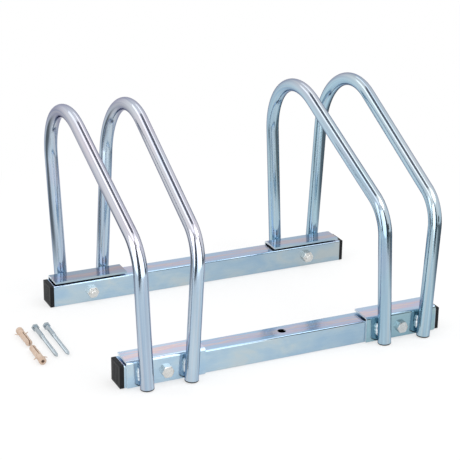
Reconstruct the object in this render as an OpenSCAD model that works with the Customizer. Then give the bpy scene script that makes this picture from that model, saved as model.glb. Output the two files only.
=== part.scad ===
// Floor stand for two bicycles. Four bent tube hoops stand in two leaning pairs, each pair
// welded to a front and a rear angle bracket, and the brackets are bolted to two cross beams.
// X runs along the beams, Y from front to rear and Z up. The origin lies on the floor, on the
// axis of the front beam's fixing hole.

/* [Hoops] */
// Outer diameter of the hoop tube
tube_d = 16; // [12:0.5:19]
// Wall of the hoop tube
tube_wall = 1.2; // [0.8:0.1:2]
// Height at which the front leg starts to bend back
front_leg_h = 136; // [110:1:150]
// Slope of the hoop's middle run, measured from the upright
slope_angle = 63.5; // [56:0.5:68]
// Radius of the lower bend, at the tube's centre line
front_bend_r = 45; // [30:1:55]
// Radius of the top bend, at the tube's centre line
top_bend_r = 78; // [60:1:85]
// How much the tube's radius shrinks where it is bent
bend_draw = 0.05; // [0.02:0.01:0.1]
// Distance between the two hoops of a pair at the floor
hoop_spacing = 53; // [46:1:60]
// Outward lean of each hoop
hoop_lean = 2.8; // [0:0.1:4]

/* [Beams] */
// Length of a cross beam without its end caps
beam_len = 400; // [360:1:460]
// Width and height of the square beam tube
beam_size = 28; // [25:0.5:32]
// Wall of the beam tube
beam_wall = 1.5; // [1:0.1:2.5]
// Outer corner radius of the beam tube
beam_corner_r = 2; // [1:0.1:3]
// Distance between the centre lines of the two beams
beam_pitch = 240; // [210:1:270]
// Gap around a floor screw in a beam's lower wall
screw_clearance = 0.2; // [0.1:0.05:0.5]
// Gap around a floor screw's head in a beam's top wall
head_clearance = 0.4; // [0.2:0.1:1]

/* [Brackets] */
// Length of a bracket along its beam
bracket_len = 94; // [88:1:110]
// How far a bracket stops short of the beam's end
bracket_inset = 2.5; // [0:0.5:10]
// Thickness of the bracket sheet
bracket_t = 2.5; // [1.5:0.1:3]
// Inner radius of the bracket's bend
bracket_bend_r = 1; // [0.5:0.1:1.5]
// Height of the flange's lower edge above the floor
flange_bottom = 1; // [0.5:0.1:3]
// Gap between the beam's top and the bracket's top plate
plate_gap = 2; // [1:0.1:3]
// How far the top plate stops short of the beam's inner face
plate_setback = 1; // [0:0.1:3]

/* [End caps and feet] */
// Thickness of the end cap's head
cap_t = 5; // [3:0.5:7]
// Chamfer around the end cap's outer face
cap_chamfer = 0.8; // [0.4:0.1:1]
// Number of upright grooves in the end cap's outer face
cap_grooves = 4; // [0:1:5]
// Distance from one groove to the next
cap_groove_pitch = 4.6; // [3:0.1:5]
// Width of a groove
cap_groove_w = 1; // [0.6:0.1:1.5]
// Depth of a groove
cap_groove_depth = 0.4; // [0.2:0.1:0.8]
// Flat border above and below the grooves
cap_border = 3.5; // [2:0.5:5]
// Length of the end cap's plug inside the beam
cap_plug_len = 14; // [10:1:20]
// Wall of the end cap's plug
cap_plug_wall = 2; // [1.5:0.1:3]
// Gap around the end cap's plug
cap_clearance = 0.1; // [0.05:0.05:0.2]
// Thickness of a foot's rim below the tube
foot_rim_t = 1.5; // [1:0.1:2.5]
// Chamfer around a foot's rim
foot_chamfer = 0.4; // [0.2:0.1:0.6]
// Length of a foot's plug inside the tube
foot_plug_len = 12; // [8:1:16]
// Gap around a foot's plug
foot_clearance = 0.1; // [0.05:0.05:0.2]

/* [Bolts and nuts] */
// Bolt diameter
bolt_d = 8; // [6:0.5:8]
// Bolt length below the head
bolt_len = 40; // [40:1:50]
// Width across the flats of the bolt head and nut
bolt_af = 13; // [12:0.5:14]
// Height of the bolt head
bolt_head_h = 5.3; // [4:0.1:6]
// Chamfer at the bolt's end
bolt_chamfer = 0.8; // [0.4:0.1:1]
// Gap around a bolt in its holes
bolt_clearance = 0.25; // [0.1:0.05:0.3]
// Height of the nut's hexagon
nut_hex_h = 6.2; // [5:0.1:6.5]
// Height of the nut's round collar
nut_collar_h = 1.8; // [1.2:0.1:2]
// Outer diameter of the nut's collar
nut_collar_d = 11.6; // [11:0.1:12]
// Wall of the nut's collar
nut_collar_wall = 0.8; // [0.5:0.1:0.9]
// Gap around the bolt in the nut
thread_clearance = 0.02; // [0.01:0.01:0.05]

/* [Welds] */
// Length of a weld bead along a leg
weld_len = 16; // [10:1:18]
// Radius of a weld bead
weld_r = 2.6; // [2:0.1:3]
// Height of a weld bead's middle along its leg
weld_h = 16; // [12:0.5:18]

/* [Loose fixings] */
// Shank diameter of a floor screw
screw_d = 5.6; // [5:0.1:5.8]
// Length of a floor screw below its head
screw_len = 80; // [60:1:90]
// Length of the plain shank under the screw's head
screw_plain_len = 26; // [18:1:32]
// Outer diameter of the screw's thread
screw_crest_d = 4.8; // [4:0.1:5]
// Core diameter of the screw's threaded length
screw_core_d = 3.8; // [3:0.1:4]
// Distance from one thread to the next
screw_pitch = 2.2; // [1.6:0.1:3]
// Length of the screw's point
screw_point_len = 6; // [4:0.5:8]
// Width across the flats of the screw head
screw_af = 8; // [7:0.5:9]
// Height of the screw head
screw_head_h = 3.5; // [2.5:0.1:4]
// Length of a wall plug
plug_len = 42; // [36:1:44]
// Diameter of a wall plug
plug_d = 8; // [7:0.5:9]
// Diameter of a wall plug's collar
plug_collar_d = 8.8; // [8.5:0.1:9.5]
// Length of a wall plug's collar
plug_collar_len = 5; // [3:0.5:6]
// Diameter of the neck behind the collar
plug_neck_d = 6.8; // [6:0.1:7.5]
// Length of the neck
plug_neck_len = 2; // [1:0.5:3]
// Diameter of a wall plug's bore
plug_bore_d = 4; // [3:0.5:4.5]
// Width of the slit that parts a wall plug's halves
plug_slit_w = 1.2; // [0.8:0.1:1.6]
// Edge rounding of a wall plug's collar
plug_edge = 0.8; // [0.4:0.1:1]
// Depth of the grooves around a wall plug's body
plug_groove_depth = 0.4; // [0.2:0.1:0.6]
// Distance from one groove to the next
plug_groove_pitch = 3.4; // [2.5:0.1:4.5]
// Number of grooves around a wall plug's body
plug_grooves = 7; // [3:1:8]
// Reach of a wall plug's fins beyond its body
plug_fin_reach = 4; // [2:0.5:5]
// How far a fin sweeps back towards the collar
plug_fin_sweep = 4; // [2:0.5:5]
// Width of a fin at its root
plug_fin_root = 3; // [2:0.1:4]
// Width of a fin at its tip
plug_fin_tip = 0.8; // [0.5:0.1:1.2]
// Thickness of a wall plug's fins
plug_fin_t = 0.7; // [0.6:0.1:1.2]

/* [Hidden] */
$fn = 64;

zinc = [0.70, 0.77, 0.83];
black_plastic = [0.10, 0.10, 0.12];
weld_grey = [0.80, 0.82, 0.84];
nylon = [0.88, 0.88, 0.84];
plug_tan = [0.85, 0.68, 0.53];

// Left and right, outer and inner, front and rear as signs
left = -1;
right = 1;
outer = 1;
inner = -1;
front = -1;
rear = 1;

// How far a cut runs past the faces that it goes through
overrun = 1;

// How far a straight run reaches over a bend's end, so that both are one solid
bend_lap = 0.02;

tube_r = tube_d / 2;
pair_spacing = beam_len - bracket_len - 2 * bracket_inset;
beam_half = beam_size / 2;
rear_y = beam_pitch;
bolt_z = beam_half;
plate_top = beam_size + plate_gap + bracket_t;
bend_outer_r = bracket_bend_r + bracket_t;
plate_depth = bracket_t + beam_size - plate_setback;
bolt_hole_r = bolt_d / 2 + bolt_clearance;
fixing_hole_d = screw_d + 2 * screw_clearance;
access_hole_d = across_corners(screw_af) + 2 * head_clearance;
least_corner_share = 0.3;

// Distance from the front leg's axis to the rear leg's axis
leg_offset = beam_half + bracket_t + tube_r;
hoop_span = beam_pitch + 2 * leg_offset;

// The sloping run joins the two bends as a common tangent
slope_start = [front_bend_r * (1 - cos(slope_angle)), front_leg_h + front_bend_r * sin(slope_angle)];
slope_len = (hoop_span - top_bend_r * (1 + cos(slope_angle)) - slope_start[0]) / sin(slope_angle);
rear_leg_h = slope_start[1] + slope_len * cos(slope_angle) - top_bend_r * sin(slope_angle);

// A leaning foot is lifted until its lowest edge meets the floor
foot_lift = tube_r * sin(hoop_lean);

// A weld bead sits in the notch between the leg and the flange
weld_in_share = 0.4;
weld_out_share = 0.7;
weld_ripple_share = 0.09;
weld_waves = 6;
weld_steps = 12;

// A cone that cuts a hexagon's corners leaves this share of its height upright
hex_upright_share = 0.86;
hex_face_share = 0.94;

// The loose fixings lie left of the stand, side by side, along Y
screw_outer_pos = [-242.6, 88.5];
screw_inner_pos = [-228.8, 88];
wall_plug_rear_pos = [-262.8, 170];
wall_plug_front_pos = [-263.2, 78];
thread_root_share = 0.5;
plug_slit_share = 0.66;
plug_bore_share = 0.8;
plug_fin_start_share = 0.3;
plug_end_steps = 6;

function across_corners(flats) = flats / cos(30);

// A square with round corners, centred
module rounded_square(size, corner_r) {
    square([size - 2 * corner_r, size], center = true);
    square([size, size - 2 * corner_r], center = true);
    for (x = [-1, 1], y = [-1, 1])
        translate([x, y] * (size / 2 - corner_r))
            circle(corner_r);
}

// A hexagonal prism standing on z = 0 whose far corners are cut by a cone
module hex_block(flats, height) {
    intersection() {
        cylinder(d = across_corners(flats), h = height, $fn = 6);
        union() {
            cylinder(d = across_corners(flats), h = height * hex_upright_share);
            translate([0, 0, height * hex_upright_share])
                cylinder(d1 = across_corners(flats), d2 = flats * hex_face_share,
                    h = height * (1 - hex_upright_share));
        }
    }
}

// Turns Z to the row direction Y: front is -1 and rear is 1
module along_y(side) {
    rotate([-90 * side, 0, 0])
        children();
}

// A square tube along X with two bolt holes, a screw hole below and an access hole above
module beam(y) {
    inner_size = beam_size - 2 * beam_wall;
    inner_corner_r = max(beam_corner_r - beam_wall, beam_wall * least_corner_share);
    color(zinc)
    translate([0, y, beam_half])
    difference() {
        rotate([90, 0, 90])
            linear_extrude(beam_len, center = true)
                difference() {
                    rounded_square(beam_size, beam_corner_r);
                    rounded_square(inner_size, inner_corner_r);
                }
        for (x = [-1, 1])
            translate([x * pair_spacing / 2, 0, 0])
                rotate([90, 0, 0])
                    cylinder(r = bolt_hole_r, h = beam_size + 2 * overrun, center = true);
        translate([0, 0, -beam_half - overrun])
            cylinder(d = fixing_hole_d, h = beam_half);
        cylinder(d = access_hole_d, h = beam_half + overrun);
    }
}

// An end cap: a chamfered head against the beam's end and a hollow plug inside it
module end_cap(side, y) {
    plug_size = beam_size - 2 * (beam_wall + cap_clearance);
    color(black_plastic)
    translate([side * beam_len / 2, y, beam_half])
    rotate([90, 0, 90 * side]) {
        difference() {
            linear_extrude(cap_t)
                rounded_square(beam_size, beam_corner_r);
            for (turn = [0:90:270])
                rotate([0, 0, turn])
                    translate([beam_half, 0, cap_t])
                        rotate([90, 0, 0])
                            linear_extrude(beam_size + 2 * overrun, center = true)
                                polygon([
                                    [-cap_chamfer, 0],
                                    [overrun, -cap_chamfer - overrun],
                                    [overrun, overrun],
                                    [-cap_chamfer, overrun]
                                ]);
            for (i = [0:1:cap_grooves - 1])
                translate([(i - (cap_grooves - 1) / 2) * cap_groove_pitch, 0, cap_t])
                    cube([cap_groove_w, beam_size - 2 * cap_border, 2 * cap_groove_depth], center = true);
        }
        translate([0, 0, -cap_plug_len])
            linear_extrude(cap_plug_len)
                difference() {
                    square(plug_size, center = true);
                    square(plug_size - 2 * cap_plug_wall, center = true);
                }
    }
}

// The bracket's section: flange from its outer face inward, bend and top plate
module bracket_section() {
    translate([0, flange_bottom])
        square([bracket_t, plate_top - bend_outer_r - flange_bottom]);
    translate([bend_outer_r, plate_top - bend_outer_r])
        intersection() {
            difference() {
                circle(bend_outer_r);
                circle(bracket_bend_r);
            }
            translate([-bend_outer_r, 0])
                square(bend_outer_r);
        }
    translate([bend_outer_r, plate_top - bracket_t])
        square([plate_depth - bend_outer_r, bracket_t]);
}

// An angle bracket whose flange lies on a beam's outer face; end is front or rear
module bracket(side, end, y) {
    color(zinc)
    translate([side * pair_spacing / 2, y, 0])
    difference() {
        translate([0, end * (beam_half + bracket_t), 0])
            mirror([0, end == rear ? 1 : 0, 0])
                rotate([90, 0, 90])
                    linear_extrude(bracket_len, center = true)
                        bracket_section();
        translate([0, end * (beam_half - overrun), bolt_z])
            along_y(end)
                cylinder(r = bolt_hole_r, h = bracket_t + 2 * overrun);
    }
}

// Sets a hoop's own plane upright in the stand: its x turns to Y and its y to Z
module hoop_place(side, place) {
    translate([side * (pair_spacing + place * hoop_spacing) / 2, -leg_offset, foot_lift])
        rotate([0, side * place * hoop_lean, 0])
            rotate([90, 0, 90])
                children();
}

// The hoop tube's section: a ring of the given outer radius
module tube_section(radius) {
    difference() {
        circle(radius);
        circle(radius - tube_wall);
    }
}

// A straight length of tube along y in the hoop's plane
module straight_tube(length) {
    rotate([-90, 0, 0])
        linear_extrude(length)
            tube_section(tube_r);
}

// A bend of the tube in the hoop's plane
module bend(bend_r, angle) {
    rotate_extrude(angle = angle, $fn = 96)
        translate([bend_r, 0])
            tube_section(tube_r - bend_draw);
}

// A hollow hoop: front leg, lower bend, slope, top bend and rear leg
module hoop(side, place) {
    color(zinc)
    hoop_place(side, place) {
        translate([0, foot_rim_t])
            straight_tube(front_leg_h - foot_rim_t + bend_lap);
        translate([front_bend_r, front_leg_h])
            rotate([0, 0, 180 - slope_angle])
                bend(front_bend_r, slope_angle);
        translate(slope_start)
            rotate([0, 0, -slope_angle])
                translate([0, -bend_lap])
                    straight_tube(slope_len + 2 * bend_lap);
        translate([hoop_span - top_bend_r, rear_leg_h])
            bend(top_bend_r, 180 - slope_angle);
        translate([hoop_span, foot_rim_t])
            straight_tube(rear_leg_h - foot_rim_t + bend_lap);
    }
}

// The two plastic feet that close a hoop's ends
module hoop_feet(side, place) {
    color(black_plastic)
    hoop_place(side, place)
        for (x = [0, hoop_span])
            translate([x, 0])
                rotate([-90, 0, 0]) {
                    cylinder(r1 = tube_r - foot_chamfer, r2 = tube_r, h = foot_chamfer);
                    translate([0, 0, foot_chamfer])
                        cylinder(r = tube_r, h = foot_rim_t - foot_chamfer);
                    translate([0, 0, foot_rim_t])
                        cylinder(r = tube_r - tube_wall - foot_clearance, h = foot_plug_len);
                }
}

// Radius of a weld bead at a share s of its half length: rippled, and round at both ends
function weld_radius(s) =
    weld_r * sqrt(1 - pow(s, 4)) * (1 - weld_ripple_share * (1 + cos(180 * weld_waves * (s + 1))) / 2);

// One weld bead standing along y, before the leg and the flange are cut from it
module weld_bead() {
    rotate([-90, 0, 0])
        rotate_extrude()
            polygon([
                for (i = [0:weld_steps])
                    let (s = 2 * i / weld_steps - 1)
                    [weld_radius(s), s * weld_len / 2]
            ]);
}

// The beads on both sides of a hoop's two legs
module hoop_welds(side, place) {
    color(weld_grey)
    hoop_place(side, place)
        for (leg = [front, rear])
            translate([leg == front ? 0 : hoop_span, 0])
                for (w = [-1, 1])
                    difference() {
                        translate([-leg * (tube_r - weld_in_share * weld_r), weld_h, w * tube_r * weld_out_share])
                            weld_bead();
                        translate([0, weld_h])
                            rotate([90, 0, 0])
                                cylinder(r = tube_r, h = 2 * weld_len, center = true);
                        translate([-leg * (tube_r + weld_r), weld_h, 0])
                            cube([2 * weld_r, 2 * weld_len, 4 * tube_r], center = true);
                    }
}

// A hexagon bolt from the bracket's outer face inward through the beam
module bolt(side, end, y) {
    color(zinc)
    translate([side * pair_spacing / 2, y + end * (beam_half + bracket_t), bolt_z]) {
        along_y(end)
            hex_block(bolt_af, bolt_head_h);
        along_y(-end) {
            cylinder(d = bolt_d, h = bolt_len - bolt_chamfer);
            translate([0, 0, bolt_len - bolt_chamfer])
                cylinder(d1 = bolt_d, d2 = bolt_d - 2 * bolt_chamfer, h = bolt_chamfer);
        }
    }
}

// Sets a nut's own axis on its bolt, with z = 0 on the beam's inner face
module nut_place(side, end, y) {
    translate([side * pair_spacing / 2, y - end * beam_half, bolt_z])
        along_y(-end)
            children();
}

// A locking nut: a hexagon and a rounded collar that holds a nylon ring
module nut(side, end, y) {
    bore_r = bolt_d / 2 + thread_clearance;
    collar_round_r = nut_collar_wall;
    color(zinc)
    nut_place(side, end, y)
        difference() {
            union() {
                hex_block(bolt_af, nut_hex_h);
                translate([0, 0, nut_hex_h]) {
                    cylinder(d = nut_collar_d, h = nut_collar_h - collar_round_r);
                    translate([0, 0, nut_collar_h - collar_round_r]) {
                        cylinder(r = nut_collar_d / 2 - collar_round_r, h = collar_round_r);
                        rotate_extrude()
                            translate([nut_collar_d / 2 - collar_round_r, 0])
                                intersection() {
                                    circle(collar_round_r);
                                    square(collar_round_r);
                                }
                    }
                }
            }
            translate([0, 0, -overrun])
                cylinder(r = bore_r, h = nut_hex_h + nut_collar_h + 2 * overrun);
            translate([0, 0, nut_hex_h])
                cylinder(r = nut_collar_d / 2 - nut_collar_wall, h = nut_collar_h - nut_collar_wall);
        }
}

// The nylon ring inside each nut's collar
module locking_rings() {
    for (side = [left, right], end = [front, rear])
        color(nylon)
        nut_place(side, end, end == front ? 0 : rear_y)
            translate([0, 0, nut_hex_h])
                difference() {
                    cylinder(r = nut_collar_d / 2 - nut_collar_wall, h = nut_collar_h - nut_collar_wall);
                    translate([0, 0, -overrun])
                        cylinder(r = bolt_d / 2 + thread_clearance, h = nut_collar_h + 2 * overrun);
                }
}

// Half of the screw's outline: the point, the thread's crests and roots, and the plain shank
module screw_outline() {
    thread_len = screw_len - screw_point_len - screw_plain_len;
    turns = floor(thread_len / screw_pitch);
    polygon([
        [0, 0],
        for (i = [0:turns - 1])
            each [
                [screw_crest_d / 2, screw_point_len + i * screw_pitch],
                [screw_core_d / 2, screw_point_len + (i + thread_root_share) * screw_pitch]
            ],
        [screw_crest_d / 2, screw_point_len + turns * screw_pitch],
        [screw_d / 2, screw_len - screw_plain_len],
        [screw_d / 2, screw_len],
        [0, screw_len]
    ]);
}

// A hexagon-head screw lying on the floor on a flat of its head and on its thread's last crest
module floor_screw(pos) {
    tilt = asin((screw_af - screw_crest_d) / 2 / (screw_len - screw_point_len));
    tip_h = screw_crest_d / 2 * cos(tilt) - screw_point_len * sin(tilt);
    color(zinc)
    translate([pos[0], pos[1], tip_h])
        rotate([-90 + tilt, 0, 0]) {
            rotate_extrude()
                screw_outline();
            translate([0, 0, screw_len])
                hex_block(screw_af, screw_head_h);
        }
}

// Half of a wall plug's outline: collar, neck, grooved body and round end
module plug_outline() {
    body_r = plug_d / 2;
    body_start = plug_collar_len + plug_neck_len;
    groove_start = body_start + plug_groove_pitch;
    polygon([
        [0, 0],
        [plug_collar_d / 2 - plug_edge, 0],
        [plug_collar_d / 2, plug_edge],
        [plug_collar_d / 2, plug_collar_len - plug_edge],
        [plug_neck_d / 2, plug_collar_len],
        [plug_neck_d / 2, body_start],
        for (i = [0:plug_grooves - 1])
            each [
                [body_r, groove_start + (i - 1 / 2) * plug_groove_pitch],
                [body_r - plug_groove_depth, groove_start + i * plug_groove_pitch]
            ],
        for (i = [0:plug_end_steps])
            [body_r * cos(90 * i / plug_end_steps), plug_len - body_r + body_r * sin(90 * i / plug_end_steps)]
    ]);
}

// A split expansion plug lying on the floor; its collar faces the rear or the front
module wall_plug(pos, facing) {
    slit_len = plug_len * plug_slit_share;
    fin_reach = plug_d / 2 + plug_fin_reach;
    color(plug_tan)
    translate([pos[0], pos[1], plug_collar_d / 2])
    along_y(-facing)
    difference() {
        union() {
            rotate_extrude()
                plug_outline();
            for (turn = [0, 180])
                rotate([0, 0, turn])
                    translate([0, 0, plug_len * plug_fin_start_share])
                        rotate([90, 0, 0])
                            linear_extrude(plug_fin_t, center = true)
                                polygon([
                                    [plug_bore_d / 2, 0],
                                    [fin_reach, -plug_fin_sweep],
                                    [fin_reach, plug_fin_tip - plug_fin_sweep],
                                    [plug_bore_d / 2, plug_fin_root]
                                ]);
        }
        translate([0, 0, -overrun])
            cylinder(d = plug_bore_d, h = plug_len * plug_bore_share + overrun);
        translate([-plug_slit_w / 2, -plug_collar_d, plug_len - slit_len])
            cube([plug_slit_w, 2 * plug_collar_d, slit_len + overrun]);
    }
}

beam(0);  // front_beam
beam(rear_y);  // rear_beam
end_cap(left, 0);  // front_left_cap
end_cap(right, 0);  // front_right_cap
end_cap(left, rear_y);  // rear_left_cap
end_cap(right, rear_y);  // rear_right_cap
bracket(left, front, 0);  // front_left_bracket
bracket(right, front, 0);  // front_right_bracket
bracket(left, rear, rear_y);  // rear_left_bracket
bracket(right, rear, rear_y);  // rear_right_bracket
hoop(left, outer);  // left_outer_hoop
hoop(left, inner);  // left_inner_hoop
hoop(right, inner);  // right_inner_hoop
hoop(right, outer);  // right_outer_hoop
hoop_welds(left, outer);  // left_outer_welds
hoop_welds(left, inner);  // left_inner_welds
hoop_welds(right, inner);  // right_inner_welds
hoop_welds(right, outer);  // right_outer_welds
hoop_feet(left, outer);  // left_outer_feet
hoop_feet(left, inner);  // left_inner_feet
hoop_feet(right, inner);  // right_inner_feet
hoop_feet(right, outer);  // right_outer_feet
bolt(left, front, 0);  // front_left_bolt
bolt(right, front, 0);  // front_right_bolt
bolt(left, rear, rear_y);  // rear_left_bolt
bolt(right, rear, rear_y);  // rear_right_bolt
nut(left, front, 0);  // front_left_nut
nut(right, front, 0);  // front_right_nut
nut(left, rear, rear_y);  // rear_left_nut
nut(right, rear, rear_y);  // rear_right_nut
locking_rings();  // nut_locking_rings
floor_screw(screw_outer_pos);  // floor_screw_outer
floor_screw(screw_inner_pos);  // floor_screw_inner
wall_plug(wall_plug_rear_pos, rear);  // wall_plug_rear
wall_plug(wall_plug_front_pos, front);  // wall_plug_front
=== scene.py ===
"""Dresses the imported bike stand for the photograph's view.

Everything is in metres in the row frame: the origin lies on the floor on the axis of the front
beam's fixing hole, X runs along the beams, Y to the rear beam and Z up.
"""

import math

import bpy
import numpy as np
from mathutils import Matrix


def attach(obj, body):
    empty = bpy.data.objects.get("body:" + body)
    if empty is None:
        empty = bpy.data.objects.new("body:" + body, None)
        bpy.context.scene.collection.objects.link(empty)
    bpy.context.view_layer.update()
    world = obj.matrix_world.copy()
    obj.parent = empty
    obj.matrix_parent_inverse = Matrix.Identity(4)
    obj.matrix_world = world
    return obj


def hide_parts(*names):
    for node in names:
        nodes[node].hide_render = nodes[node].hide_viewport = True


MM = 0.001
TAU = 2 * math.pi

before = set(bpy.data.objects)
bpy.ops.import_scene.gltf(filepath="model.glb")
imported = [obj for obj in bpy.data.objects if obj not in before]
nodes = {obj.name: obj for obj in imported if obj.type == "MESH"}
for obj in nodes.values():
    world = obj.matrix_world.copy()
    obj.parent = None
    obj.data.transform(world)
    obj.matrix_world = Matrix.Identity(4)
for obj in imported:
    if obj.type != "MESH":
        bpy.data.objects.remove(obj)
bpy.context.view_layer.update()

# Sizes of the stand that new pieces share with the solids
TUBE_R = 8 * MM
TUBE_WALL = 1.2 * MM
FOOT_RIM = 1.5 * MM
FRONT_LEG_H = 136 * MM
SLOPE_ANGLE = math.radians(63.5)
FRONT_BEND_R = 45 * MM
TOP_BEND_R = 78 * MM
BEAM_HALF = 14 * MM
BEAM_PITCH = 240 * MM
BRACKET_T = 2.5 * MM
PAIR_SPACING = 301 * MM
HOOP_SPACING = 53 * MM
HOOP_LEAN = math.radians(2.8)
LEG_OFFSET = BEAM_HALF + BRACKET_T + TUBE_R
HOOP_SPAN = BEAM_PITCH + 2 * LEG_OFFSET
FOOT_LIFT = TUBE_R * math.sin(HOOP_LEAN)

# Weld beads: the height of their middle, their length and their radius
WELD_H = 16 * MM
WELD_LEN = 16 * MM
WELD_R = 2.6 * MM

# The loose floor screws
SCREW_LEN = 80 * MM
SCREW_POINT = 6 * MM
SCREW_SHANK_LEN = 26 * MM
SCREW_SHANK_R = 2.8 * MM
THREAD_CREST_R = 2.4 * MM
THREAD_CORE_R = 1.8 * MM
THREAD_PITCH = 2.2 * MM
THREAD_RUN_OUT = 1.5 * MM
SCREW_FLATS = 8 * MM
SCREW_HEAD_H = 3.5 * MM

# How far from the stand's middle, along X, the painted shade between the stand's ends is complete
PAINTED_SHADE_REACH = 170 * MM

# How finely the new pieces are divided
LEG_STEPS, FRONT_BEND_STEPS, SLOPE_STEPS, TOP_BEND_STEPS, REAR_LEG_STEPS = 24, 56, 24, 110, 30
TUBE_SIDES = 72
BEAD_STEPS, BEAD_SIDES = 72, 28
THREAD_STEPS, SHANK_STEPS, THREAD_SIDES = 430, 8, 48
HEAD_SIDES = 96
SHARP_ANGLE = math.radians(38)

# Each hoop by its node's first words: its side of the stand and its place in the pair
HOOPS = {
    "left_outer": (-1, 1),
    "left_inner": (-1, -1),
    "right_inner": (1, -1),
    "right_outer": (1, 1),
}
FIRST_WELD_SEED, SEEDS_A_HOOP = 40, 10

# Where the tips of the loose screws lie
SCREW_TIPS = {
    "floor_screw_outer": (-242.6 * MM, 88.5 * MM),
    "floor_screw_inner": (-228.8 * MM, 88 * MM),
}


def surface(name, grid, ring=False):
    """A closed mesh from a grid of points, rows by columns by three, with a quad between
    neighbours. The last column joins the first one. In a ring the last row joins the first one
    too. Otherwise one many-sided face closes each end."""
    rows, cols = grid.shape[:2]
    index = np.arange(rows * cols).reshape(rows, cols)
    ends = [] if ring else [index[0, ::-1].tolist(), index[-1].tolist()]
    if ring:
        index = np.vstack([index, index[:1]])
    index = np.hstack([index, index[:, :1]])
    corners = [index[:-1, :-1], index[:-1, 1:], index[1:, 1:], index[1:, :-1]]
    quads = np.stack(corners, axis=-1).reshape(-1, 4).tolist()
    mesh = bpy.data.meshes.new(name)
    mesh.from_pydata(grid.reshape(-1, 3).tolist(), [], quads + ends)
    mesh.update()
    mesh.validate()
    mesh.shade_smooth()
    mesh.set_sharp_from_angle(angle=SHARP_ANGLE)
    piece = bpy.data.objects.new(name, mesh)
    bpy.context.scene.collection.objects.link(piece)
    return piece


def point_attribute(piece, name, x, y, z):
    """Keeps a vector for each vertex, for a pattern that follows the surface."""
    values = np.stack(np.broadcast_arrays(x, y, z), axis=-1)
    layer = piece.data.attributes.new(name, "FLOAT_VECTOR", "POINT")
    layer.data.foreach_set("vector", np.ascontiguousarray(values, np.float32).ravel())


def join(name, pieces):
    """Joins meshes that all sit in the row frame into one named piece."""
    with bpy.context.temp_override(active_object=pieces[0], selected_editable_objects=pieces):
        bpy.ops.object.join()
    pieces[0].name = name
    pieces[0].data.name = name
    return pieces[0]


def hoop_to_row(points, side, place):
    """Turns points of a hoop's own plane (run, height, sideways) into the row frame: the plane
    stands along Y, leans about Y by the hoop's lean, and sits at the hoop's place."""
    run, height, sideways = points[..., 0], points[..., 1], points[..., 2]
    lean = side * place * HOOP_LEAN
    foot_x = side * (PAIR_SPACING + place * HOOP_SPACING) / 2
    x = sideways * math.cos(lean) + height * math.sin(lean) + foot_x
    z = height * math.cos(lean) - sideways * math.sin(lean) + FOOT_LIFT
    return np.stack([x, run - LEG_OFFSET, z], axis=-1)


def hoop_centre_line():
    """Points and directions along the hoop: a straight leg, an arc back by the slope's angle, a
    straight slope, an arc down through the rest of the half turn, and a straight leg. The arcs
    are tangent to the straights. Returns points, directions and arc lengths."""
    s, c = math.sin(SLOPE_ANGLE), math.cos(SLOPE_ANGLE)
    slope_run = FRONT_BEND_R * (1 - c)
    slope_h = FRONT_LEG_H + FRONT_BEND_R * s
    slope_len = (HOOP_SPAN - TOP_BEND_R * (1 + c) - slope_run) / s
    rear_leg_h = slope_h + slope_len * c - TOP_BEND_R * s
    up = np.linspace(FOOT_RIM, FRONT_LEG_H, LEG_STEPS, endpoint=False)
    front = np.linspace(0, SLOPE_ANGLE, FRONT_BEND_STEPS, endpoint=False)
    along = np.linspace(0, slope_len, SLOPE_STEPS, endpoint=False)
    over = np.linspace(SLOPE_ANGLE, math.pi, TOP_BEND_STEPS, endpoint=False)
    down = np.linspace(rear_leg_h, FOOT_RIM, REAR_LEG_STEPS)
    zero = np.zeros_like
    stretches = [
        (zero(up), up),
        (FRONT_BEND_R * (1 - np.cos(front)), FRONT_LEG_H + FRONT_BEND_R * np.sin(front)),
        (slope_run + along * s, slope_h + along * c),
        (HOOP_SPAN - TOP_BEND_R * (1 + np.cos(over)), rear_leg_h + TOP_BEND_R * np.sin(over)),
        (zero(down) + HOOP_SPAN, down),
    ]
    points = np.concatenate([np.stack(stretch, 1) for stretch in stretches])
    angles = [zero(up), front, zero(along) + SLOPE_ANGLE, over, zero(down) + math.pi]
    angles = np.concatenate(angles)
    directions = np.stack([np.sin(angles), np.cos(angles)], 1)
    steps = np.linalg.norm(np.diff(points, axis=0), axis=1)
    return points, directions, np.concatenate([[0], np.cumsum(steps)])


def hoop_tube(name, side, place):
    """A hollow tube along the hoop's centre line: rings of the outer radius from the front foot
    to the rear foot, then rings of the bore's radius back again, joined end to end. Two
    attributes say where on the tube a point lies: along_tube unrolls it for the streaks, shifted
    so that no two hoops look the same, and run_and_side has its arc length and side."""
    points, directions, length = hoop_centre_line()
    around = np.linspace(0, TAU, TUBE_SIDES, endpoint=False)
    across = np.stack([-directions[:, 1], directions[:, 0]], 1)
    there, back = slice(None), slice(None, None, -1)
    rings = []
    for radius, order in ((TUBE_R, there), (TUBE_R - TUBE_WALL, back)):
        centre = points[order][:, None, :]
        normal = across[order][:, None, :]
        flat = centre + normal * (radius * np.cos(around))[None, :, None]
        sideways = np.broadcast_to((radius * np.sin(around))[None, :], flat.shape[:2])
        rings.append(np.concatenate([flat, sideways[..., None]], axis=-1))
    piece = surface(name, hoop_to_row(np.concatenate(rings), side, place), ring=True)
    run = np.concatenate([length[there], length[back]])[:, None]
    side_shift, place_shift = 0.7, 0.31
    point_attribute(piece, "along_tube", run + side_shift * side + place_shift * place,
                    TUBE_R * np.cos(around), TUBE_R * np.sin(around))
    point_attribute(piece, "run_and_side", run, float(side), np.zeros(TUBE_SIDES))
    return piece


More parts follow.
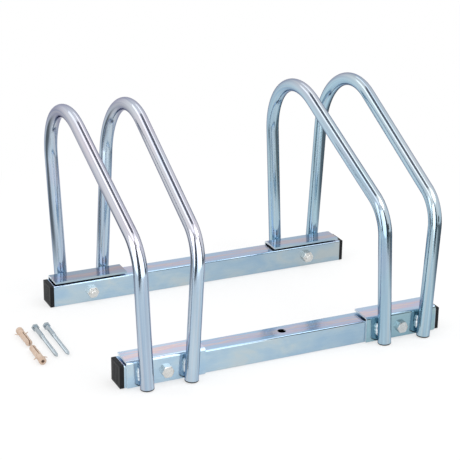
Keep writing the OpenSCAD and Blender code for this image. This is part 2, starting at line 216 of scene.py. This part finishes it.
def weld_bead(name, side, place, run, flange_way, sideways, seed):
    """One fillet bead: a round section along the leg, centred near the corner of leg and
    flange. Its radius dips between the puddles of the weld and between finer ripples, swells at
    small random lumps, and tapers to nothing at both ends. Its middle wanders a little."""
    rng = np.random.default_rng(seed)
    puddle_dip, puddle_turns = 0.24, 0.85
    ripple_dip, ripple_turns = 0.05, 2.6
    rough_share, thinnest = 0.06, 0.02 * MM
    into_leg, out_share = 0.4, 0.7
    t = np.linspace(-1, 1, BEAD_STEPS)
    around = np.linspace(0, TAU, BEAD_SIDES, endpoint=False)
    taper = np.sqrt(np.clip(1 - t**4, 0, 1))
    turn = TAU * (t + rng.uniform(0, 0.3))
    puddles = 1 - puddle_dip * np.abs(np.sin(puddle_turns * turn))
    puddles = puddles - ripple_dip * np.abs(np.sin(ripple_turns * turn))
    lumps = np.interp(t, np.linspace(-1, 1, 9), rng.uniform(0.88, 1.14, 9))
    radius = np.clip(WELD_R * taper * puddles * lumps, thinnest, None)
    wander = np.interp(t, np.linspace(-1, 1, 6), rng.uniform(-0.25, 0.25, 6)) * MM
    r = radius[:, None] * (1 + rough_share * np.sin(3 * around[None, :] + 5 * t[:, None]))
    grid = np.stack([
        run + flange_way * (TUBE_R - into_leg * WELD_R) + r * np.cos(around),
        np.broadcast_to((WELD_H + t * WELD_LEN / 2)[:, None], r.shape),
        sideways * TUBE_R * out_share + wander[:, None] + r * np.sin(around),
    ], axis=-1)
    return surface(name, hoop_to_row(grid, side, place)[:, ::-1])


def hoop_welds(name, side, place, seed):
    """The four beads of a hoop, on both sides of its front and rear leg."""
    beads = []
    for leg, (run, flange_way) in enumerate(((0.0, 1), (HOOP_SPAN, -1))):
        for bead, sideways in enumerate((-1, 1)):
            beads.append(weld_bead(f"{name}.{leg}.{bead}", side, place, run, flange_way,
                                   sideways, seed + 2 * leg + bead))
    return join(name, beads)


def screw_shaft():
    """The point, thread and plain shank along Z from the tip: a surface of revolution whose
    radius rises and falls with the distance along the axis less the turn around it, so that the
    crest runs as a helix. The crest fades in at the point and out at the shank, and the core
    grows from the tip as the square root of the distance."""
    thread_end = SCREW_LEN - SCREW_SHANK_LEN
    crest_width, crest_shape, fade_out = 0.36, 0.8, 0.8 * THREAD_PITCH
    thread = np.linspace(0, thread_end, THREAD_STEPS)
    shank = np.linspace(thread_end, SCREW_LEN, SHANK_STEPS)[1:]
    around = np.linspace(0, TAU, THREAD_SIDES, endpoint=False)
    z, a = np.meshgrid(np.concatenate([thread, shank]), around, indexing="ij")
    phase = (z / THREAD_PITCH - a / TAU) % 1
    ridge = np.clip(1 - np.abs(phase - 0.5) / crest_width, 0, 1) ** crest_shape
    fade = np.clip(z / SCREW_POINT, 0, 1) * np.clip((thread_end - z) / fade_out, 0, 1)
    core = THREAD_CORE_R * np.clip(z / SCREW_POINT, 0.02, 1) ** 0.5
    threaded = core + (THREAD_CREST_R - THREAD_CORE_R) * ridge * fade
    blend = np.clip((z - thread_end + THREAD_RUN_OUT) / THREAD_RUN_OUT, 0, 1)
    swell = blend * blend * (3 - 2 * blend)
    radius = threaded * (1 - swell) + SCREW_SHANK_R * swell
    return np.stack([radius * np.cos(a), radius * np.sin(a), z], axis=-1)


def screw_head():
    """The head above the shank: hexagons of a given share of the head's size, each cut off by a
    circle, which rounds the corners towards the top and the bottom."""
    sixth = math.pi / 3
    corner = SCREW_FLATS / 2 / math.cos(sixth / 2)
    around = np.linspace(0, TAU, HEAD_SIDES, endpoint=False)
    hexagon = SCREW_FLATS / 2 / np.cos(around % sixth - sixth / 2)
    whole, clear = 0.97, 1.02
    height_and_size = ((0.0, 0.55), (0.0, 0.97), (0.05, 1.0), (0.80, 1.0), (0.96, 0.965),
                       (1.0, 0.86), (1.0, 0.4))
    rows = []
    for height_share, size_share in height_and_size:
        reach = np.minimum(hexagon, corner * (clear if size_share > whole else size_share))
        height = np.full_like(around, SCREW_LEN + SCREW_HEAD_H * height_share)
        rows.append(np.stack([reach * np.cos(around), reach * np.sin(around), height], 1))
    return np.stack(rows)


def threaded_screw(name, tip_x, tip_y):
    """A hexagon-head screw that lies on a head flat and on its thread's last crest. Its axis
    turns from Z to Y, and the head is lifted by the tilt that follows."""
    tilt = math.asin((SCREW_FLATS / 2 - THREAD_CREST_R) / (SCREW_LEN - SCREW_POINT))
    tip_z = THREAD_CREST_R * math.cos(tilt) - SCREW_POINT * math.sin(tilt)
    pieces = []
    for part, grid in ((name, screw_shaft()), (name + ".head", screw_head())):
        x, y, w = grid[..., 0], grid[..., 1], grid[..., 2]
        lying = np.stack([
            x + tip_x,
            w * math.cos(tilt) + y * math.sin(tilt) + tip_y,
            w * math.sin(tilt) - y * math.cos(tilt) + tip_z,
        ], axis=-1)
        pieces.append(surface(part, lying[:, ::-1]))
    return join(name, pieces)


def toned(colour, tone):
    """A colour times one tone, or times three, one for each of its parts."""
    return tuple(np.multiply(colour, tone).tolist())


def mix_shaders(tree, share, first, second, output):
    """Sends the first shader to the output where the share is 0 and the second where it is 1."""
    blend = tree.nodes.new("ShaderNodeMixShader")
    for socket, source in zip(blend.inputs, (share, first, second)):
        tree.links.new(source, socket)
    tree.links.new(blend.outputs[0], output.inputs[0])


class Finish:
    """Builds one procedural material around a Principled shader."""

    def __init__(self, name):
        self.material = bpy.data.materials.new(name)
        self.material.use_nodes = True
        self.tree = self.material.node_tree
        self.tree.nodes.clear()
        self.output = self.node("ShaderNodeOutputMaterial")
        self.shader = self.node("ShaderNodeBsdfPrincipled")
        self.link(self.shader.outputs[0], self.output.inputs[0])

    def node(self, kind, **settings):
        """A new node with its settings."""
        made = self.tree.nodes.new(kind)
        for key, value in settings.items():
            setattr(made, key, value)
        return made

    def link(self, source, socket):
        """Joins an output to an input."""
        self.tree.links.new(source, socket)

    def set(self, **values):
        """Sets plain numbers and colours on the shader's own sockets."""
        for key, value in values.items():
            self.shader.inputs[key.replace("_", " ")].default_value = value

    def feed(self, socket, source):
        """Joins an output to one of the shader's sockets."""
        self.link(source, self.shader.inputs[socket])

    def attribute(self, name):
        """A piece's own vector for each point."""
        return self.node("ShaderNodeAttribute", attribute_name=name).outputs["Vector"]

    def coords(self, scale=(1, 1, 1), attribute=None):
        """Object coordinates, or a piece's own attribute, stretched by a scale for each axis."""
        mapping = self.node("ShaderNodeMapping")
        mapping.inputs["Scale"].default_value = scale
        if attribute:
            source = self.attribute(attribute)
        else:
            source = self.node("ShaderNodeTexCoord").outputs["Object"]
        self.link(source, mapping.inputs["Vector"])
        return mapping.outputs[0]

    def axes(self, vector):
        """The X, Y and Z of a vector."""
        split = self.node("ShaderNodeSeparateXYZ")
        self.link(vector, split.inputs[0])
        return split.outputs

    def noise(self, coords, scale, detail, roughness, distortion=0.0):
        """A cloudy pattern, mostly between 0.3 and 0.7."""
        made = self.node("ShaderNodeTexNoise")
        made.inputs["Scale"].default_value = scale
        made.inputs["Detail"].default_value = detail
        made.inputs["Roughness"].default_value = roughness
        made.inputs["Distortion"].default_value = distortion
        self.link(coords, made.inputs["Vector"])
        return made.outputs["Fac"]

    def ramp(self, value, stops, tone=1.0):
        """Colours at places from 0 to 1, each times the tone, with smooth passages between."""
        made = self.node("ShaderNodeValToRGB")
        elements = made.color_ramp.elements
        while len(elements) < len(stops):
            elements.new(0.5)
        for element, (place, colour) in zip(elements, stops):
            element.position = place
            element.color = (*toned(colour, tone), 1)
        self.link(value, made.inputs[0])
        return made.outputs["Color"]

    def span(self, value, low, high, start, end):
        """Low where the value is at start or before, high at end or beyond, even between."""
        made = self.node("ShaderNodeMapRange")
        numbers = {"From Min": start, "From Max": end, "To Min": low, "To Max": high}
        for key, number in numbers.items():
            made.inputs[key].default_value = number
        self.link(value, made.inputs["Value"])
        return made.outputs["Result"]

    def spread(self, noise, low, high):
        """The middle of a noise's range stretched from low to high."""
        return self.span(noise, low, high, 0.3, 0.7)

    def maths(self, operation, *values):
        """A sum, a product and the like of numbers and outputs."""
        made = self.node("ShaderNodeMath", operation=operation)
        for socket, value in zip(made.inputs, values):
            if isinstance(value, (int, float)):
                socket.default_value = value
            else:
                self.link(value, socket)
        return made.outputs[0]

    def mix(self, factor, first, second, blend="MIX"):
        """The first colour where the factor is 0 and the second, or their blend, where it is 1."""
        made = self.node("ShaderNodeMix", data_type="RGBA", blend_type=blend)
        sockets = (made.inputs["Factor"], made.inputs[6], made.inputs[7])
        for socket, value in zip(sockets, (factor, first, second)):
            if isinstance(value, (int, float)):
                socket.default_value = value
            elif isinstance(value, tuple):
                socket.default_value = (*value, 1)
            else:
                self.link(value, socket)
        return made.outputs[2]

    def bump(self, height, strength, distance):
        """Relief of the shader's surface."""
        made = self.node("ShaderNodeBump")
        made.inputs["Strength"].default_value = strength
        made.inputs["Distance"].default_value = distance
        self.link(height, made.inputs["Height"])
        self.feed("Normal", made.outputs[0])

    def fade(self, colour, left=(1.02, 1.02, 1.02), right=(0.82, 0.82, 0.82)):
        """Multiplies a colour by one tint at the stand's left end and another at its right end:
        painted shade that darkens the colour towards the right end.
        """
        x = self.axes(self.coords())["X"]
        tint = self.node("ShaderNodeCombineColor")
        for socket, at_left, at_right in zip(tint.inputs, left, right):
            self.link(self.span(x, at_left, at_right, -PAINTED_SHADE_REACH, PAINTED_SHADE_REACH), socket)
        return self.mix(1.0, colour, tint.outputs[0], "MULTIPLY")

    def normal(self):
        """The X, Y and Z of the surface's normal."""
        return self.axes(self.node("ShaderNodeNewGeometry").outputs["Normal"])

    def upward(self, low=0.4, high=0.95):
        """How far a surface faces up, from 0 to 1, as its normal's rise goes from low to high."""
        return self.span(self.normal()["Z"], 0, 1, low, high)

    def cut_end(self):
        """How far a surface is one of the sheet's cut ends, which face along X, from 0 to 1."""
        return self.span(self.maths("ABSOLUTE", self.normal()["X"]), 0, 1, 0.75, 0.95)


# Colours of the zinc's film, and the paler and darker colours painted on it as glints, highlights
# and reflected streaks
SKY_ZINC = (0.43, 0.585, 0.71)
CREAM_ZINC = (0.56, 0.64, 0.67)
MIST_ZINC = (0.49, 0.62, 0.70)
STEEL_ZINC = (0.37, 0.54, 0.70)
BORDER_ZINC = (0.37, 0.53, 0.72)
LILAC_ZINC = (0.45, 0.48, 0.66)
PINK_ZINC = (0.52, 0.465, 0.54)
SHELL_ZINC = (0.56, 0.52, 0.56)
WARM_ZINC = (0.53, 0.56, 0.59)
TEAL_ZINC = (0.54, 0.70, 0.84)
HAZE_ZINC = (0.45, 0.60, 0.72)
DUSK_ZINC = (0.46, 0.56, 0.70)
# Painted glint along the sheet's draw lines
SHEET_LINE_GLINT = (0.86, 0.92, 0.97)
# Painted highlight on the sheet's cut ends
SHEET_CUT_HIGHLIGHT = (0.74, 0.82, 0.87)
# Painted glint along the tube's draw lines
TUBE_LINE_GLINT = (0.84, 0.90, 0.95)
# Painted highlight on lighter, warmer streaks along the tube
WARM_STREAK_HIGHLIGHT = (0.62, 0.60, 0.62)
# Painted reflection: darker streaks along the tube
PAINTED_DARK_STREAK = (0.70, 0.75, 0.83)

# The film on upright faces and on faces that look up, as places on a ramp with their colours
SHEET_SIDE = ((0.30, CREAM_ZINC), (0.40, MIST_ZINC), (0.50, SKY_ZINC), (0.66, STEEL_ZINC))
SHEET_TOP = ((0.20, BORDER_ZINC), (0.37, LILAC_ZINC), (0.46, PINK_ZINC), (0.52, SHELL_ZINC),
             (0.60, LILAC_ZINC), (0.74, BORDER_ZINC))
TUBE_SIDE = ((0.30, MIST_ZINC), (0.46, SKY_ZINC), (0.62, HAZE_ZINC), (0.76, DUSK_ZINC))
TUBE_TOP = ((0.34, (0.62, 0.70, 0.77)), (0.50, (0.66, 0.69, 0.76)), (0.66, (0.69, 0.67, 0.74)))
WELD_GRAIN = ((0.3, (0.50, 0.58, 0.64)), (0.55, (0.78, 0.82, 0.85)), (0.75, (0.92, 0.94, 0.95)))


def pink_band(f):
    """The place on the top film's ramp: the distance across a beam in half widths, moved by a
    slow wander along X and frayed by a fine noise that is drawn out along X."""
    shifted = f.maths("ADD", f.axes(f.coords())["Y"], 1.5 * BEAM_PITCH)
    across = f.maths("SUBTRACT", f.maths("MODULO", shifted, BEAM_PITCH), BEAM_PITCH / 2)
    slow = f.noise(f.coords((1, 0.5, 0.5)), scale=12.0, detail=2.0, roughness=0.5)
    wander = f.span(slow, -0.40, 0.40, 0.25, 0.75)
    fine = f.noise(f.coords((0.10, 1, 1)), scale=240.0, detail=3.0, roughness=0.6)
    fray = f.span(fine, -0.65, 0.65, 0.25, 0.75)
    place = f.maths("ADD", f.maths("DIVIDE", across, BEAM_HALF), f.maths("ADD", wander, fray))
    return f.span(place, 0, 1, -1.5, 1.5)


def plated_sheet(name, side_painted_shade=0.96, top_painted_light_and_shade=0.98):
    """Bright zinc on drawn steel. The film is sky blue on upright faces. On faces that look up
    its colour runs across the beam's width, from blue borders to a pink band. Fine draw lines
    follow X and carry a painted glint. The cut ends of a bracket are duller, and their paler
    colour is a painted highlight. The side and top tones are painted shade and painted light
    that darken, lighten and tint the colours of the parts, and the colour darkens towards the
    stand's right end as painted shade."""
    f = Finish(name)
    film = f.noise(f.coords((0.8, 1.6, 1.6)), scale=24.0, detail=4.0, roughness=0.55,
                   distortion=0.6)
    side = f.ramp(film, SHEET_SIDE, side_painted_shade)
    top = f.ramp(pink_band(f), SHEET_TOP, top_painted_light_and_shade)
    colour = f.mix(f.upward(), side, top)
    lines = f.noise(f.coords((3, 260, 260)), scale=4.0, detail=4.0, roughness=0.6)
    # Painted glint: the draw lines are mixed towards a paler colour.
    colour = f.mix(f.span(lines, 0.0, 0.08, 0.35, 0.75), colour, SHEET_LINE_GLINT)
    # The cut ends are rougher and less metallic, and their paler colour is a painted highlight.
    cut = f.cut_end()
    # Painted shade: the colour darkens towards the stand's right end.
    f.feed("Base Color", f.fade(f.mix(cut, colour, SHEET_CUT_HIGHLIGHT)))
    cloud = f.noise(f.coords(), scale=38.0, detail=4.0, roughness=0.6)
    rough = f.maths("ADD", f.spread(cloud, 0.07, 0.16), f.spread(lines, 0.0, 0.06))
    f.feed("Roughness", f.maths("ADD", rough, f.span(cut, 0.0, 0.25, 0, 1)))
    f.feed("Metallic", f.span(cut, 1.0, 0.45, 0, 1))
    f.bump(lines, strength=0.05, distance=0.3 * MM)
    return f.material


def plated_tube(name):
    """The same zinc on bent tube. Broad darker streaks, as painted reflection, and lighter warm
    streaks, as painted highlight, follow the tube's own length, and fine draw lines carry a
    painted glint. On the slopes the film turns warm grey at the stand's left side and teal at its
    right side, and the colour darkens towards the stand's right end as painted shade. Its
    reflection dims towards the edges."""
    f = Finish(name)
    where = f.axes(f.attribute("run_and_side"))
    right_share = f.span(where["Y"], 0, 1, -1, 1)
    past_leg = f.span(where["X"], 0, 0.9, 0.14, 0.20)
    before_top = f.span(where["X"], 1, 0, 0.42, 0.52)
    slope = f.maths("MULTIPLY", past_leg, before_top)
    film = f.noise(f.coords(attribute="along_tube"), scale=11.0, detail=2.5, roughness=0.5,
                   distortion=0.5)
    side = f.mix(slope, f.ramp(film, TUBE_SIDE), f.mix(right_share, WARM_ZINC, TEAL_ZINC))
    colour = f.mix(f.upward(-0.1, 0.75), side, f.ramp(film, TUBE_TOP))
    # Painted reflection: broad darker streaks along the tube stand in for reflected dark bands.
    streaks = f.noise(f.coords((2.2, 190, 190), "along_tube"), scale=1.6, detail=2.0,
                      roughness=0.5)
    darker = f.mix(1.0, colour, PAINTED_DARK_STREAK, "MULTIPLY")
    colour = f.mix(f.span(streaks, 0.0, 1.0, 0.38, 0.66), colour, darker)
    # Painted highlight: lighter, warmer streaks along the tube.
    highlight_streaks = f.noise(f.coords((3.0, 300, 300), "along_tube"), scale=1.3, detail=2.0,
                     roughness=0.5)
    colour = f.mix(f.span(highlight_streaks, 0.0, 0.45, 0.50, 0.72), colour, WARM_STREAK_HIGHLIGHT)
    lines = f.noise(f.coords((4, 420, 420), "along_tube"), scale=2.4, detail=4.0, roughness=0.6)
    # Painted glint: the draw lines are mixed towards a paler colour.
    colour = f.mix(f.span(lines, 0.0, 0.12, 0.35, 0.75), colour, TUBE_LINE_GLINT)
    # Painted shade: the colour darkens and tints towards the stand's right end.
    f.feed("Base Color", f.fade(colour, left=(1.02, 0.98, 0.97), right=(0.83, 0.92, 0.90)))
    cloud = f.noise(f.coords(), scale=30.0, detail=2.0, roughness=0.5)
    f.feed("Roughness", f.spread(cloud, 0.11, 0.16))
    f.bump(lines, strength=0.004, distance=0.2 * MM)
    f.set(Metallic=1.0, Specular_Tint=(0.42, 0.42, 0.52, 1))
    return f.material


def plated_fastener(name, colour, roughness=0.20, metal=0.85):
    """Zinc on a forged bolt, nut or screw: paler and a little rougher, with small pits."""
    f = Finish(name)
    cloud = f.noise(f.coords(), scale=260.0, detail=4.0, roughness=0.6)
    dull_share = f.span(cloud, 0.0, 0.5, 0.35, 0.7)
    f.feed("Base Color", f.mix(dull_share, colour, toned(colour, 0.72)))
    f.feed("Roughness", f.spread(cloud, roughness, roughness + 0.18))
    pits = f.noise(f.coords(), scale=1400.0, detail=3.0, roughness=0.6)
    f.bump(pits, strength=0.10, distance=0.2 * MM)
    f.set(Metallic=metal)
    return f.material


def weld_metal(name):
    """Plated weld: whitish, uneven and rougher than the sheet beside it."""
    f = Finish(name)
    grain = f.noise(f.coords(), scale=900.0, detail=4.0, roughness=0.65)
    f.feed("Base Color", f.ramp(grain, WELD_GRAIN))
    f.feed("Roughness", f.spread(grain, 0.30, 0.50))
    f.bump(grain, strength=0.35, distance=0.4 * MM)
    f.set(Metallic=0.85)
    return f.material


def moulded_plastic(name, colour, shade, roughness, grain_scale=1500.0):
    """A satin moulding: one colour that drifts a little, with a fine spark-eroded grain."""
    f = Finish(name)
    cloud = f.noise(f.coords(), scale=120.0, detail=3.0, roughness=0.55)
    f.feed("Base Color", f.mix(f.span(cloud, 0.0, 1.0, 0.35, 0.7), colour, shade))
    grain = f.noise(f.coords(), scale=grain_scale, detail=3.0, roughness=0.6)
    f.feed("Roughness", f.spread(grain, roughness - 0.06, roughness + 0.08))
    f.bump(grain, strength=0.25, distance=0.2 * MM)
    f.set(Specular_IOR_Level=0.18)
    return f.material


def dress(name, material):
    """Gives a CAD node or a new piece one material."""
    target = nodes[name] if name in nodes else bpy.data.objects[name]
    target.data.materials.clear()
    target.data.materials.append(material)


# The front beam's zinc, and the sheet parts whose colour differs from it by painted shade and
# painted light
sheet = plated_sheet("zinc_sheet")
sheets = {
    "rear_beam": plated_sheet("zinc_rear_beam", 0.90, 0.90),
    "front_left_bracket": plated_sheet("zinc_front_left", 0.98, (1.30, 1.14, 1.05)),
    "front_right_bracket": plated_sheet("zinc_front_right", (0.74, 0.86, 0.82),
                                        (1.24, 1.14, 1.10)),
    "rear_left_bracket": plated_sheet("zinc_rear_left", 0.74, (0.58, 0.54, 0.53)),
    "rear_right_bracket": plated_sheet("zinc_rear_right", 0.92, 0.84),
}
tube = plated_tube("zinc_tube")
bolt_zinc = plated_fastener("zinc_bolt", (0.70, 0.70, 0.68))
# Painted shade: the front right bolt's zinc is darker than the other bolts'.
shaded_bolt_zinc = plated_fastener("zinc_shaded_bolt", (0.58, 0.61, 0.62))
screw_zinc = plated_fastener("zinc_screw", (0.44, 0.50, 0.54), roughness=0.10, metal=1.0)
weld = weld_metal("weld_metal")
black = moulded_plastic("black_moulding", (0.006, 0.007, 0.008), (0.012, 0.013, 0.015), 0.50)
nylon = moulded_plastic("nylon_ring", (0.80, 0.80, 0.76), (0.70, 0.70, 0.66), 0.40)
tan = moulded_plastic("tan_moulding", (0.67, 0.53, 0.43), (0.58, 0.43, 0.33), 0.45, 1200.0)

for name in nodes:
    if name.endswith(("_cap", "_feet")):
        dress(name, black)
    elif name == "front_right_bolt":
        dress(name, shaded_bolt_zinc)
    elif name.endswith(("_bolt", "_nut")):
        dress(name, bolt_zinc)
    elif name == "nut_locking_rings":
        dress(name, nylon)
    elif name.startswith("wall_plug"):
        dress(name, tan)
    else:
        dress(name, sheets.get(name, sheet))

for number, (hoop, (side, place)) in enumerate(HOOPS.items()):
    piece = hoop_tube(hoop + "_bent_tube", side, place)
    dress(piece.name, tube)
    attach(piece, "root")
    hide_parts(hoop + "_hoop")
    seed = FIRST_WELD_SEED + SEEDS_A_HOOP * number
    beads = hoop_welds(hoop + "_weld_beads", side, place, seed)
    dress(beads.name, weld)
    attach(beads, "root")
    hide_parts(hoop + "_welds")

for name, (tip_x, tip_y) in SCREW_TIPS.items():
    piece = threaded_screw(name + "_threaded", tip_x, tip_y)
    dress(piece.name, screw_zinc)
    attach(piece, "root")
    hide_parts(name)


def facing_matrix(right, up, forward, place):
    """The matrix of a camera, lamp or card at a place: X to its right, Y up it, and its front,
    the -Z side, forward."""
    columns = np.stack([right, up, -forward, place], axis=1)
    return Matrix(np.vstack([columns, (0, 0, 0, 1)]).tolist())


def photo_camera():
    """The photograph's camera: a place, a heading from +Y to +X, a downward pitch, a roll, and a
    focal length in pixels of the photograph."""
    place = (-0.71937, -1.39161, 0.74999)
    heading, pitch, roll, focal = 0.4379, 0.3650, -0.0141, 1488.81
    photo_size, sensor = 460, 36.0
    level = np.array([math.sin(heading), math.cos(heading), 0.0])
    forward = level * math.cos(pitch) - np.array([0.0, 0.0, math.sin(pitch)])
    right = np.array([math.cos(heading), -math.sin(heading), 0.0])
    down = np.cross(forward, right)
    across = math.cos(roll) * right + math.sin(roll) * down
    below = -math.sin(roll) * right + math.cos(roll) * down
    camera = bpy.data.objects.new("photo_camera", bpy.data.cameras.new("photo_camera"))
    camera.data.sensor_fit = "HORIZONTAL"
    camera.data.sensor_width = sensor
    camera.data.lens = sensor * focal / photo_size
    camera.data.clip_start = 0.05
    camera.data.clip_end = 50
    camera.matrix_world = facing_matrix(across, -below, forward, place)
    bpy.context.scene.collection.objects.link(camera)
    bpy.context.scene.camera = camera


photo_camera()

# The studio: what the lamps point at, the height of its ceiling screens, the colours of its
# cards, and how bright its lit screens show in reflections, where 1 is white
STAND_MIDDLE = (0, 0.12, 0.12)
CEILING_H = 1.2
DARK_CARD = (0.06, 0.07, 0.08)
GAP_CARD = (0.16, 0.17, 0.20)
CEILING_LEVEL = 1.7
SCREEN_LEVEL = 2.2


def aim(thing, place, target):
    """Puts a light or a card at a place with its front, the -Z side, towards the target."""
    forward = np.array(target, float) - np.array(place, float)
    forward /= np.linalg.norm(forward)
    side = np.cross(forward, (0, 0, 1))
    if np.linalg.norm(side) < 1e-6:
        side = np.array([1.0, 0, 0])
    side /= np.linalg.norm(side)
    thing.matrix_world = facing_matrix(side, np.cross(side, forward), forward, place)


def flat_plane(name, half_width, half_height, top_share=1.0):
    """A flat plane around its own origin. Its upper edge is top_share as wide as its lower."""
    w, h, t = half_width, half_height, half_width * top_share
    mesh = bpy.data.meshes.new(name)
    mesh.from_pydata([(-w, -h, 0), (w, -h, 0), (t, h, 0), (-t, h, 0)], [], [(0, 1, 2, 3)])
    plane = bpy.data.objects.new(name, mesh)
    bpy.context.scene.collection.objects.link(plane)
    return plane


def reflected_plane(name, size, top_share=1.0):
    """A plane of the studio that shows only in reflections and isn't part of the object."""
    plane = flat_plane(name, size[0] / 2, size[1] / 2, top_share)
    plane.visible_camera = False
    plane.visible_diffuse = False
    plane.visible_shadow = False
    return plane


def flat_card(name, size, centre, facing, colour=DARK_CARD, top_share=1.0, level=0.0):
    """A matt card at a place, facing a point. A level above 0 makes it a lit screen."""
    card = reflected_plane(name, size, top_share)
    aim(card, centre, facing)
    f = Finish(name)
    f.set(Base_Color=(*colour, 1), Roughness=1.0, Emission_Color=(1, 1, 1, 1),
          Emission_Strength=level)
    card.data.materials.append(f.material)


def ceiling_card(name, size, x, y, colour=DARK_CARD, level=0.0):
    """A card under the ceiling that faces straight down."""
    flat_card(name, size, (x, y, CEILING_H), (x, y, 0), colour, level=level)


def floor_shade():
    """Dim floor in two patches beside the lit paper, one right of the stand and one left of
    its rear beam, each with soft edges. A patch is the product of its fades along X and Y."""
    shade = reflected_plane("floor_shade", (4, 4))
    shade.location = (0, 0, 2 * MM)
    f = Finish("floor_shade")
    f.set(Base_Color=(0.07, 0.08, 0.09, 1), Roughness=1.0)
    spot = f.axes(f.coords())

    def patch(*fades):
        """One patch from its fades, each an axis and where it starts and is complete."""
        share = 1.0
        for axis, start, end in fades:
            share = f.maths("MULTIPLY", f.span(spot[axis], 0, 1, start, end), share)
        return share

    right = patch(("X", 0.24, 0.42), ("X", 1.10, 0.80))
    left = patch(("X", -0.24, -0.36), ("X", -0.95, -0.70), ("Y", 0.08, 0.24), ("Y", 0.62, 0.46))
    share = f.maths("MULTIPLY", f.maths("MAXIMUM", right, left), 0.92)
    clear = f.node("ShaderNodeBsdfTransparent")
    mix_shaders(f.tree, share, clear.outputs[0], f.shader.outputs[0], f.output)
    shade.data.materials.append(f.material)


def softbox(name, size, place, level, mirrored=True):
    """A rectangular lamp that points at the stand, and whose own surface shines at the given
    level, where 1 is white. It shows in reflections when it is mirrored."""
    data = bpy.data.lights.new(name, "AREA")
    data.shape = "RECTANGLE"
    data.size, data.size_y = size
    data.energy = level * math.pi * size[0] * size[1]
    lamp = bpy.data.objects.new(name, data)
    bpy.context.scene.collection.objects.link(lamp)
    aim(lamp, place, STAND_MIDDLE)
    lamp.visible_camera = False
    lamp.visible_glossy = mirrored


def directly_seen(tree):
    """1 on rays from the camera and in reflections and clear parts, 0 on the rays that light."""
    path = tree.nodes.new("ShaderNodeLightPath")
    seen = path.outputs["Is Camera Ray"]
    for kind in ("Is Glossy Ray", "Is Transmission Ray"):
        either = tree.nodes.new("ShaderNodeMath")
        either.operation = "MAXIMUM"
        tree.links.new(seen, either.inputs[0])
        tree.links.new(path.outputs[kind], either.inputs[1])
        seen = either.outputs[0]
    return seen


def studio_floor():
    """A white floor that keeps a pale shadow near the stand and fades to the white background."""
    floor = flat_plane("studio_floor", 12.0, 12.0)
    floor.location = (0, 0, -0.4 * MM)
    f = Finish("studio_floor")
    f.set(Base_Color=(0.96, 0.96, 0.96, 1), Roughness=0.9, Specular_IOR_Level=0.0)
    glow = f.node("ShaderNodeEmission")
    glow.inputs["Strength"].default_value = 1.0
    distance = f.node("ShaderNodeVectorMath", operation="LENGTH")
    f.link(f.coords(), distance.inputs[0])
    far = f.span(distance.outputs["Value"], 0.62, 1.0, 0.25, 0.75)
    share = f.maths("MULTIPLY", far, directly_seen(f.tree))
    mix_shaders(f.tree, share, f.shader.outputs[0], glow.outputs[0], f.output)
    floor.data.materials.append(f.material)


def studio_world():
    """White to the camera and in reflections, and a plain soft level for everything else."""
    world = bpy.data.worlds.new("studio")
    bpy.context.scene.world = world
    world.use_nodes = True
    tree = world.node_tree
    tree.nodes.clear()
    output = tree.nodes.new("ShaderNodeOutputWorld")
    levels = []
    for strength in (0.90, 1.0):
        background = tree.nodes.new("ShaderNodeBackground")
        background.inputs["Color"].default_value = (1, 1, 1, 1)
        background.inputs["Strength"].default_value = strength
        levels.append(background.outputs[0])
    mix_shaders(tree, directly_seen(tree), *levels, output)


studio_floor()
studio_world()
softbox("left_strip", (0.28, 1.2), (-1.2, 0.65, 2.4), 3.2, mirrored=False)
softbox("right_strip", (0.26, 1.2), (0.75, 0.6, 2.4), 1.9, mirrored=False)
softbox("front_softbox", (1.3, 1.0), (0.75, -0.75, 1.9), 2.6)
softbox("left_softbox", (0.8, 0.8), (-1.9, -0.4, 1.2), 1.6)
ceiling_card("ceiling_left", (0.40, 1.8), -0.48, 0.40, level=CEILING_LEVEL)
ceiling_card("ceiling_gap", (0.54, 0.55), 0.0, 0.225, GAP_CARD)
ceiling_card("ceiling_right", (0.26, 1.8), 0.40, 0.40, level=CEILING_LEVEL)
flat_card("left_post", (0.15, 0.50), (-0.265, -0.165, 0.305), (0, 0, 0.305), top_share=0.2)
flat_card("right_post", (0.15, 0.50), (0.145, -0.215, 0.300), (0, 0, 0.300), top_share=0.2)
flat_card("front_screen", (0.41, 0.455), (-0.055, -0.30, 0.2545), (-0.055, 0, 0.2545),
          level=SCREEN_LEVEL)
flat_card("left_screen", (0.50, 0.515), (-0.49, -0.12, 0.2865), (-0.1, 0.15, 0.2865),
          level=SCREEN_LEVEL)
flat_card("front_right_card", (1.4, 0.7), (1.75, -2.3, 0.36), (1.75, 0, 0.36))
floor_shade()

bpy.context.scene.view_settings.view_transform = "Standard"
